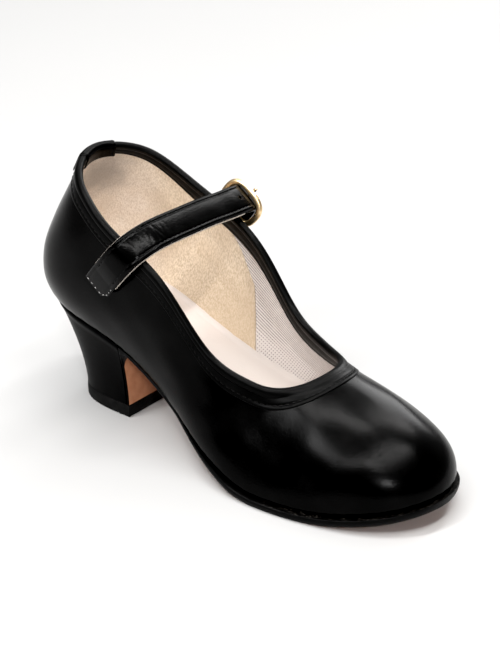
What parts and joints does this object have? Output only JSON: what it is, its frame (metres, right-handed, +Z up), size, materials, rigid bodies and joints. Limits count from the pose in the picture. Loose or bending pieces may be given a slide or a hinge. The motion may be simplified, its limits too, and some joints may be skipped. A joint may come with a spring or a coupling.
{
  "type": "flamenco shoe",
  "caption": "Black leather flamenco dance shoe with a rounded toe, flared block heel and an instep strap closed by a gold buckle; the foot goes in through the open collar.",
  "frame": {"origin": "on the floor, under the middle of the shoe's bounding box", "axes": "+X towards the toe, +Y towards the outer (lateral) side of the left foot, +Z up from the floor"},
  "size_m": [0.2008, 0.0811, 0.109],
  "materials": {
    "black_leather": "smooth, semi-gloss black",
    "sole_leather": "matt tan underside, edges inked black",
    "heel_cover": "smooth black cover over the heel block",
    "black_rubber": "matt black",
    "sock_leather": "matt pale beige",
    "gold_metal": "polished pale gold plating"
  },
  "bodies": {
    "root": {"outsole": "sole_leather", "heel": "heel_cover", "heel_top_lift": "black_rubber", "upper": "black_leather", "topline_binding": "black_leather", "back_tab": "black_leather", "insole": "sock_leather", "strap": "black_leather", "buckle_frame": "gold_metal", "buckle_prong": "gold_metal", "buckle_tab": "black_leather"}
  },
  "joints": []
}
